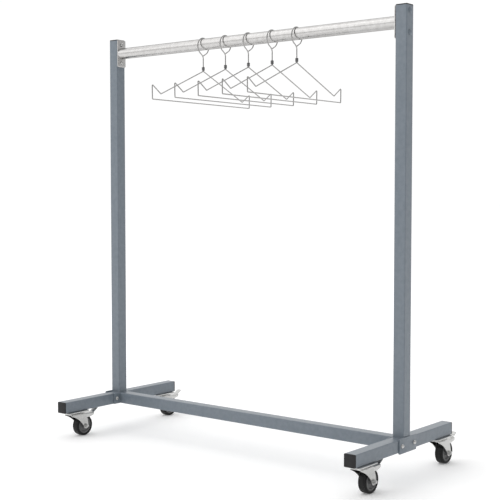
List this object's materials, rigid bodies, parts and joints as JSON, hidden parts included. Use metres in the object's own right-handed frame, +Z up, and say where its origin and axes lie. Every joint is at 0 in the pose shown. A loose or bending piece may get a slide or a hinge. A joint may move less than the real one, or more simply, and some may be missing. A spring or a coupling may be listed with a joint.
{
  "type": "rolling clothes rack",
  "caption": "Rolling garment rack: square tube side frames, a round hanging rail, a bottom beam, braked swivel casters and wire hangers that slide on the rail.",
  "frame": {"origin": "On the floor, under the middle of the rack's outline, the brake toes at the rear included. The two posts stand 25 mm in front of it.", "axes": "+Z up, +X along the hanging rail to the right as seen from the front, +Y along the feet to the rear, the side the wheels trail to"},
  "size_m": [1.3016, 0.63, 1.46],
  "materials": {
    "paint": "satin blue-grey powder coat",
    "cap_plastic": "moulded black plastic",
    "zinc": "bright zinc plate",
    "brushed_rail": "brushed round tube",
    "hub_plastic": "moulded grey plastic",
    "tyre": "solid black rubber tread",
    "hanger_wire": "drawn steel wire",
    "ferrule_metal": "dark plated sleeve"
  },
  "bodies": {
    "rack_frame": {"left_post": "paint", "left_post_cap": "cap_plastic", "left_foot": "paint", "left_front_foot_cap": "cap_plastic", "left_rear_foot_cap": "cap_plastic", "left_rail_bolt_upper": "zinc", "left_rail_bolt_lower": "zinc", "left_beam_bolt_front": "zinc", "left_beam_bolt_rear": "zinc", "right_post": "paint", "right_post_cap": "cap_plastic", "right_foot": "paint", "right_front_foot_cap": "cap_plastic", "right_rear_foot_cap": "cap_plastic", "right_rail_bolt_upper": "zinc", "right_rail_bolt_lower": "zinc", "right_beam_bolt_front": "zinc", "right_beam_bolt_rear": "zinc", "bottom_beam": "paint", "hanging_rail": "brushed_rail", "front_left_caster_plate": "zinc", "front_right_caster_plate": "zinc", "rear_left_caster_plate": "zinc", "rear_right_caster_plate": "zinc"},
    "front_left_fork": {"front_left_caster_fork": "zinc", "front_left_caster_axle": "zinc"},
    "front_left_wheel": {"front_left_caster_hub": "hub_plastic", "front_left_caster_tyre": "tyre"},
    "front_left_brake": {"front_left_caster_brake": "zinc"},
    "front_right_fork": {"front_right_caster_fork": "zinc", "front_right_caster_axle": "zinc"},
    "front_right_wheel": {"front_right_caster_hub": "hub_plastic", "front_right_caster_tyre": "tyre"},
    "front_right_brake": {"front_right_caster_brake": "zinc"},
    "rear_left_fork": {"rear_left_caster_fork": "zinc", "rear_left_caster_axle": "zinc"},
    "rear_left_wheel": {"rear_left_caster_hub": "hub_plastic", "rear_left_caster_tyre": "tyre"},
    "rear_left_brake": {"rear_left_caster_brake": "zinc"},
    "rear_right_fork": {"rear_right_caster_fork": "zinc", "rear_right_caster_axle": "zinc"},
    "rear_right_wheel": {"rear_right_caster_hub": "hub_plastic", "rear_right_caster_tyre": "tyre"},
    "rear_right_brake": {"rear_right_caster_brake": "zinc"},
    "hanger_1_slider": {"hanger_1_hook": "hanger_wire"},
    "hanger_1_swinging_frame": {"hanger_1_ferrule": "ferrule_metal", "hanger_1_frame": "hanger_wire"},
    "hanger_2_slider": {"hanger_2_hook": "hanger_wire"},
    "hanger_2_swinging_frame": {"hanger_2_ferrule": "ferrule_metal", "hanger_2_frame": "hanger_wire"},
    "hanger_3_slider": {"hanger_3_hook": "hanger_wire"},
    "hanger_3_swinging_frame": {"hanger_3_ferrule": "ferrule_metal", "hanger_3_frame": "hanger_wire"},
    "hanger_4_slider": {"hanger_4_hook": "hanger_wire"},
    "hanger_4_swinging_frame": {"hanger_4_ferrule": "ferrule_metal", "hanger_4_frame": "hanger_wire"},
    "hanger_5_slider": {"hanger_5_hook": "hanger_wire"},
    "hanger_5_swinging_frame": {"hanger_5_ferrule": "ferrule_metal", "hanger_5_frame": "hanger_wire"}
  },
  "joints": [
    {"name": "front_left_swivel", "type": "hinge", "parent": "rack_frame", "child": "front_left_fork", "pos_m": [-0.62, -0.255, 0.09], "axis": [0, 0, 1], "continuous": true},
    {"name": "front_left_wheel_spin", "type": "hinge", "parent": "front_left_fork", "child": "front_left_wheel", "pos_m": [-0.62, -0.214, 0.037], "axis": [1, 0, 0], "continuous": true},
    {"name": "front_left_brake_press", "type": "hinge", "parent": "front_left_fork", "child": "front_left_brake", "pos_m": [-0.62, -0.238, 0.079], "axis": [-1, 0, 0], "range_deg": [0, 8]},
    {"name": "front_right_swivel", "type": "hinge", "parent": "rack_frame", "child": "front_right_fork", "pos_m": [0.62, -0.255, 0.09], "axis": [0, 0, 1], "continuous": true},
    {"name": "front_right_wheel_spin", "type": "hinge", "parent": "front_right_fork", "child": "front_right_wheel", "pos_m": [0.62, -0.214, 0.037], "axis": [1, 0, 0], "continuous": true},
    {"name": "front_right_brake_press", "type": "hinge", "parent": "front_right_fork", "child": "front_right_brake", "pos_m": [0.62, -0.238, 0.079], "axis": [-1, 0, 0], "range_deg": [0, 8]},
    {"name": "rear_left_swivel", "type": "hinge", "parent": "rack_frame", "child": "rear_left_fork", "pos_m": [-0.62, 0.205, 0.09], "axis": [0, 0, 1], "continuous": true},
    {"name": "rear_left_wheel_spin", "type": "hinge", "parent": "rear_left_fork", "child": "rear_left_wheel", "pos_m": [-0.62, 0.246, 0.037], "axis": [1, 0, 0], "continuous": true},
    {"name": "rear_left_brake_press", "type": "hinge", "parent": "rear_left_fork", "child": "rear_left_brake", "pos_m": [-0.62, 0.222, 0.079], "axis": [-1, 0, 0], "range_deg": [0, 8]},
    {"name": "rear_right_swivel", "type": "hinge", "parent": "rack_frame", "child": "rear_right_fork", "pos_m": [0.62, 0.205, 0.09], "axis": [0, 0, 1], "continuous": true},
    {"name": "rear_right_wheel_spin", "type": "hinge", "parent": "rear_right_fork", "child": "rear_right_wheel", "pos_m": [0.62, 0.246, 0.037], "axis": [1, 0, 0], "continuous": true},
    {"name": "rear_right_brake_press", "type": "hinge", "parent": "rear_right_fork", "child": "rear_right_brake", "pos_m": [0.62, 0.222, 0.079], "axis": [-1, 0, 0], "range_deg": [0, 8]},
    {"name": "hanger_1_slide", "type": "slide", "parent": "rack_frame", "child": "hanger_1_slider", "axis": [1, 0, 0], "range_m": [-0.395, 0.04]},
    {"name": "hanger_1_turn", "type": "hinge", "parent": "hanger_1_slider", "child": "hanger_1_swinging_frame", "pos_m": [-0.1912, -0.025, 1.32], "axis": [0, 0, 1], "range_deg": [-18, 18]},
    {"name": "hanger_2_slide", "type": "slide", "parent": "rack_frame", "child": "hanger_2_slider", "axis": [1, 0, 0], "range_m": [-0.04, 0.04]},
    {"name": "hanger_2_turn", "type": "hinge", "parent": "hanger_2_slider", "child": "hanger_2_swinging_frame", "pos_m": [-0.0896, -0.025, 1.32], "axis": [0, 0, 1], "range_deg": [-18, 18]},
    {"name": "hanger_3_slide", "type": "slide", "parent": "rack_frame", "child": "hanger_3_slider", "axis": [1, 0, 0], "range_m": [-0.04, 0.04]},
    {"name": "hanger_3_turn", "type": "hinge", "parent": "hanger_3_slider", "child": "hanger_3_swinging_frame", "pos_m": [0.012, -0.025, 1.32], "axis": [0, 0, 1], "range_deg": [-18, 18]},
    {"name": "hanger_4_slide", "type": "slide", "parent": "rack_frame", "child": "hanger_4_slider", "axis": [1, 0, 0], "range_m": [-0.04, 0.04]},
    {"name": "hanger_4_turn", "type": "hinge", "parent": "hanger_4_slider", "child": "hanger_4_swinging_frame", "pos_m": [0.1136, -0.025, 1.32], "axis": [0, 0, 1], "range_deg": [-18, 18]},
    {"name": "hanger_5_slide", "type": "slide", "parent": "rack_frame", "child": "hanger_5_slider", "axis": [1, 0, 0], "range_m": [-0.04, 0.37]},
    {"name": "hanger_5_turn", "type": "hinge", "parent": "hanger_5_slider", "child": "hanger_5_swinging_frame", "pos_m": [0.2152, -0.025, 1.32], "axis": [0, 0, 1], "range_deg": [-18, 18]}
  ]
}
